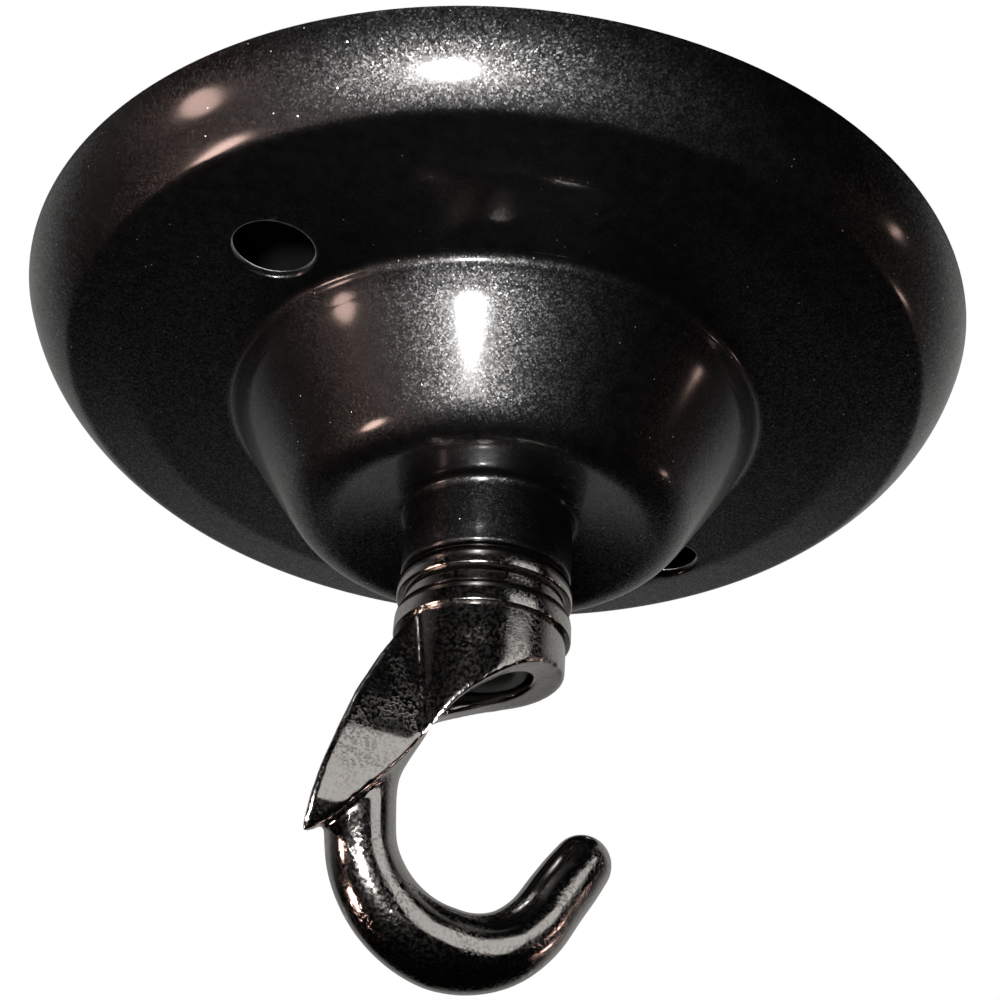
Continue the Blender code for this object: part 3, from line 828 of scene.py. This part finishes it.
class HOOKPLATE_OT_nut_and_washers(bpy.types.Operator):
    """Builds the hexagon nut, the plain washer and the split washer"""
    bl_idname = "hook_plate.nut_and_washers"
    bl_label = "Nut and Washers"

    def execute(self, context):
        colours = context.scene.hook_plate_colours
        bright = zinc_plate("bright_zinc", opaque(colours.zinc),
                            opaque(colours.zinc, (0.86, 0.9, 0.95)), 4200.0)
        self.nut(bright)
        top, end = WASHER_HIGH.z / MM, WASHER_LOW.z / MM
        outline = rounded([(THREAD_HOLE_RADIUS, top), (WASHER_HIGH.x / MM, top),
                           (WASHER_HIGH.x / MM, end), (THREAD_HOLE_RADIUS, end)], 0.25)
        washer = turned("plain_washer", outline, 160)
        finish_piece(washer, bright, "plate", ["load_washer"])
        self.split_washer(bright)
        return {"FINISHED"}

    def nut(self, finish):
        top, end = NUT_HIGH.z, NUT_LOW.z
        corner = NUT_HIGH.y
        bpy.ops.object.select_all(action="DESELECT")
        bpy.ops.mesh.primitive_cylinder_add(vertices=6, radius=corner, depth=top - end,
                                            location=(0, 0, (top + end) / 2))
        nut = bpy.context.object
        nut.name = nut.data.name = "tube_nut"
        edit(nut)
        bpy.ops.mesh.select_all(action="SELECT")
        bpy.ops.mesh.bevel(offset=0.00018, segments=3, affect="EDGES")
        object_mode()
        high, low, reach = top / MM, end / MM, corner / MM
        flat, past = NUT_HIGH.x / MM - 0.15, reach + 0.15
        envelope = [(0.0, high + 0.2), (flat - 0.3, high + 0.2), (flat, high - 0.02),
                    (past, high - NUT_CORNER_DROP), (past, low + NUT_CORNER_DROP),
                    (flat, low + 0.02), (flat - 0.3, low - 0.2), (0.0, low - 0.2)]
        combine(nut, turned("nut_corners", envelope, 128), "INTERSECT")
        mouth = THREAD_HOLE_RADIUS + NUT_CHAMFER
        bore = [(0.0, high + 1), (mouth, high + 1), (mouth, high),
                (THREAD_HOLE_RADIUS, high - NUT_CHAMFER), (THREAD_HOLE_RADIUS, low + NUT_CHAMFER),
                (mouth, low), (mouth, low - 1), (0.0, low - 1)]
        combine(nut, turned("nut_bore", bore, 96), "DIFFERENCE")
        finish_piece(nut, finish, "plate", ["hex_nut"])

    def split_washer(self, finish):
        top, end = SPRING_HIGH.z / MM, SPRING_LOW.z / MM
        outer = -SPRING_LOW.x / MM
        outline = rounded([(THREAD_HOLE_RADIUS, top), (outer, top), (outer, end),
                           (THREAD_HOLE_RADIUS, end)], 0.18)
        washer = turned("split_washer", outline, 150, TAU - SPLIT_ANGLE)
        middle = (top + end) / 2 * MM

        def slant(place):
            return Matrix.Rotation(SPLIT_ANGLE / 2 + (place.z - middle) * 110.0, 3, "Z") @ place

        move_vertices(washer, slant)
        finish_piece(washer, finish, "plate", ["spring_washer"])


class HOOKPLATE_OT_bushes(bpy.types.Operator):
    """Builds the two flanged cable bushes"""
    bl_idname = "hook_plate.bushes"
    bl_label = "Cable Bushes"

    def execute(self, context):
        finish = moulded_nylon()
        for node, up in (("cable_bush_top", 1), ("cable_bush_bottom", -1)):
            low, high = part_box(node)
            face = (high if up > 0 else low).z / MM
            back = (low if up > 0 else high).z / MM
            flange, bore, sleeve = high.x / MM, BUSH_BORE_RADIUS, BUSH_SLEEVE_RADIUS
            seat = face - up
            mouth = bend(((BUSH_MOUTH_RADIUS, face), (bore, face), (bore, face - up * 0.7)), 5)
            rim = bend(((flange, face - up * 0.65), (flange, face), (flange - 0.6, face)), 5)
            outline = mouth + [(bore, back + up * 0.2), (bore + 0.15, back), (sleeve - 0.15, back),
                               (sleeve, back + up * 0.3), (sleeve, seat), (flange - 0.12, seat),
                               (flange, seat + up * 0.12)] + rim
            bush = turned(node + "_moulding", outline, 96)
            finish_piece(bush, finish, "plate", [node])
        return {"FINISHED"}


# ---------------------------------------------------------------- stage

def direction_from(azimuth, elevation):
    """A unit vector; azimuth 0 points to the front (-Y), and grows to the right (+X)."""
    a, e = math.radians(azimuth), math.radians(elevation)
    return Vector((math.sin(a) * math.cos(e), -math.cos(a) * math.cos(e), math.sin(e)))


def area_light(name, place, target, size, power, colour):
    """A soft elliptical lamp that points at the target."""
    lamp = bpy.data.lights.new(name, "AREA")
    lamp.shape = "ELLIPSE"
    lamp.size, lamp.size_y = size
    lamp.energy = power
    lamp.color = colour
    item = bpy.data.objects.new(name, lamp)
    bpy.context.scene.collection.objects.link(item)
    item.location = place
    item.rotation_euler = (Vector(place) - Vector(target)).to_track_quat("Z", "Y").to_euler()
    item.visible_camera = False
    return item


def make_camera():
    """The camera looks up at the plate from below and in front of it."""
    cos, sin = math.cos, math.sin
    forward = Vector((sin(CAMERA_TURN) * cos(CAMERA_RISE), cos(CAMERA_TURN) * cos(CAMERA_RISE),
                      sin(CAMERA_RISE)))
    level = Vector((cos(CAMERA_TURN), -sin(CAMERA_TURN), 0))
    upright = level.cross(forward)
    right = level * cos(CAMERA_ROLL) + upright * sin(CAMERA_ROLL)
    up = upright * cos(CAMERA_ROLL) - level * sin(CAMERA_ROLL)
    lens = bpy.data.cameras.new("camera")
    lens.sensor_width = 36
    lens.lens = CAMERA_LENS
    lens.shift_x, lens.shift_y = CAMERA_SHIFT
    lens.clip_start = 0.001
    camera = bpy.data.objects.new("camera", lens)
    bpy.context.scene.collection.objects.link(camera)
    turn = Matrix((right, up, -forward)).transposed().to_4x4()
    turn.translation = Vector(CAMERA_PLACE)
    camera.matrix_world = turn
    bpy.context.scene.camera = camera


def make_world():
    """Plain white behind the object, and soft glows in a dark room for its reflections."""
    world = bpy.data.worlds.new("studio")
    bpy.context.scene.world = world
    world.use_nodes = True
    tree = world.node_tree
    tree.nodes.clear()
    heading = tree.nodes.new("ShaderNodeTexCoord").outputs["Generated"]
    strength = ROOM_LEVEL
    for towards, outer, inner, level in GLOWS:
        facing = vector_node(tree, "DOT_PRODUCT", heading, tuple(Vector(towards).normalized()))
        edges = (math.cos(math.radians(outer)), math.cos(math.radians(inner)))
        glow = ranged(tree, facing.outputs["Value"], *edges, 0.0, level)
        strength = math_node(tree, "ADD", glow, strength)
    reflected = tree.nodes.new("ShaderNodeBackground")
    reflected.inputs["Color"].default_value = (1.0, 0.985, 0.965, 1)
    tree.links.new(strength, reflected.inputs["Strength"])
    seen = tree.nodes.new("ShaderNodeBackground")
    seen.inputs["Color"].default_value = (1, 1, 1, 1)
    seen.inputs["Strength"].default_value = 1.0
    path = tree.nodes.new("ShaderNodeLightPath")
    mix = tree.nodes.new("ShaderNodeMixShader")
    tree.links.new(path.outputs["Is Camera Ray"], mix.inputs[0])
    tree.links.new(reflected.outputs[0], mix.inputs[1])
    tree.links.new(seen.outputs[0], mix.inputs[2])
    tree.links.new(mix.outputs[0], tree.nodes.new("ShaderNodeOutputWorld").inputs["Surface"])


def make_painted_shade_patch():
    """A near-black disc of painted shade closes the canopy's mouth from below, so the fixing holes show
    the unlit hollow dark; only camera rays see it, and from above it can't be seen.
    """
    bpy.ops.object.select_all(action="DESELECT")
    bpy.ops.mesh.primitive_circle_add(vertices=96, radius=CANOPY_HIGH.x - 0.0012, fill_type="NGON",
                                      location=(0, 0, CANOPY_HIGH.z - 0.0002))
    patch = bpy.context.object
    patch.name = patch.data.name = "ceiling_patch"
    made, tree, shader, position = new_material("painted_cavity_shade", Roughness=0.9,
                                                Specular_IOR_Level=0.0)
    # Painted shade: a near-black colour standing for the unlit hollow inside the canopy, seen only by
    # camera rays.
    grain = noise(tree, position, 900.0, 3.0)
    tree.links.new(mixed(tree, grain, (0.002, 0.002, 0.002, 1), (0.005, 0.005, 0.005, 1)),
                   shader.inputs["Base Color"])
    surface = tree.nodes.new("ShaderNodeNewGeometry")
    one_sided = tree.nodes.new("ShaderNodeMixShader")
    tree.links.new(surface.outputs["Backfacing"], one_sided.inputs[0])
    tree.links.new(tree.nodes.new("ShaderNodeBsdfTransparent").outputs[0], one_sided.inputs[1])
    tree.links.new(shader.outputs[0], one_sided.inputs[2])
    tree.links.new(one_sided.outputs[0], tree.nodes["Material Output"].inputs["Surface"])
    patch.data.materials.append(made)
    for ray in ("visible_diffuse", "visible_glossy", "visible_transmission", "visible_shadow"):
        setattr(patch, ray, False)


def make_floor(colour):
    """A plain pale floor far below, which the plate doesn't reflect."""
    bpy.ops.object.select_all(action="DESELECT")
    bpy.ops.mesh.primitive_grid_add(x_subdivisions=8, y_subdivisions=8, size=6, location=(0, 0, -1.2))
    floor = bpy.context.object
    floor.name = floor.data.name = "floor"
    made, tree, shader, position = new_material("plain_floor", Roughness=0.85)
    faint = noise(tree, position, 3.0, 3.0)
    tree.links.new(mixed(tree, faint, opaque(colour), opaque(colour, 0.97)),
                   shader.inputs["Base Color"])
    floor.data.materials.append(made)
    floor.visible_glossy = False


class HOOKPLATE_OT_stage(bpy.types.Operator):
    """Adds the camera, the studio light, the floor and the dark disc of painted shade in the canopy's
    mouth
    """
    bl_idname = "hook_plate.stage"
    bl_label = "Stage"

    def execute(self, context):
        make_camera()
        make_world()
        make_floor(context.scene.hook_plate_colours.floor)
        # A dark disc of painted shade stands for the unlit hollow behind the fixing holes.
        make_painted_shade_patch()
        context.scene.view_settings.view_transform = "Standard"
        area_light("front_lamp", (-0.030, -0.133, -0.068), (-0.004, -0.035, -0.010), (0.011, 0.016),
                   0.95, WHITE)
        for name, target, bearing, size, power in SIDE_LAMPS:
            place = Vector(target) + direction_from(*bearing) * SIDE_DISTANCE
            area_light(name, place, target, size, power, ROSE)
        place = direction_from(*WINDOW_BEARING) * WINDOW_DISTANCE
        panel = area_light("window", place, (-0.006, -0.006, -0.042), (0.36, 0.37), 0.50, WHITE)
        panel.data.shape = "RECTANGLE"
        lit = bpy.data.collections.new("window_lit")
        for name in ("cast_hook", "locking_ring"):
            lit.objects.link(bpy.data.objects[name])
        panel.light_linking.receiver_collection = lit
        wash = area_light("floor_lamp", (0, 0, -0.35), (0, 0, -0.9), (1.2, 1.2), 26.0, WHITE)
        wash.visible_glossy = False
        area_light("top_lamp", (0.05, 0.1, 0.7), (0, 0, 0), (0.5, 0.5), 3.5, WHITE)
        return {"FINISHED"}


# ---------------------------------------------------------------- add-on

class HOOKPLATE_PT_panel(bpy.types.Panel):
    """Lists the settings, and the pieces in building order"""
    bl_idname = "HOOKPLATE_PT_panel"
    bl_label = "Hook Plate"
    bl_space_type = "VIEW_3D"
    bl_region_type = "UI"
    bl_category = "Hook Plate"

    def draw(self, context):
        for settings in (context.scene.hook_plate_sizes, context.scene.hook_plate_colours):
            for name in settings.__annotations__:
                self.layout.prop(settings, name)
        for operator in PIECE_OPERATORS:
            self.layout.operator(operator.bl_idname)


PIECE_OPERATORS = (HOOKPLATE_OT_canopy, HOOKPLATE_OT_lock_ring, HOOKPLATE_OT_hook, HOOKPLATE_OT_tube,
                   HOOKPLATE_OT_nut_and_washers, HOOKPLATE_OT_bushes, HOOKPLATE_OT_stage)
CLASSES = (HookPlateSizes, HookPlateColours) + PIECE_OPERATORS + (HOOKPLATE_PT_panel,)


def register():
    for item in CLASSES:
        bpy.utils.register_class(item)
    bpy.types.Scene.hook_plate_sizes = bpy.props.PointerProperty(type=HookPlateSizes)
    bpy.types.Scene.hook_plate_colours = bpy.props.PointerProperty(type=HookPlateColours)


def unregister():
    del bpy.types.Scene.hook_plate_colours
    del bpy.types.Scene.hook_plate_sizes
    for item in reversed(CLASSES):
        bpy.utils.unregister_class(item)


def main():
    register()
    bpy.ops.hook_plate.canopy()
    bpy.ops.hook_plate.lock_ring()
    bpy.ops.hook_plate.hook()
    bpy.ops.hook_plate.tube()
    bpy.ops.hook_plate.nut_and_washers()
    bpy.ops.hook_plate.bushes()
    bpy.ops.hook_plate.stage()


if __name__ == "__main__":
    main()
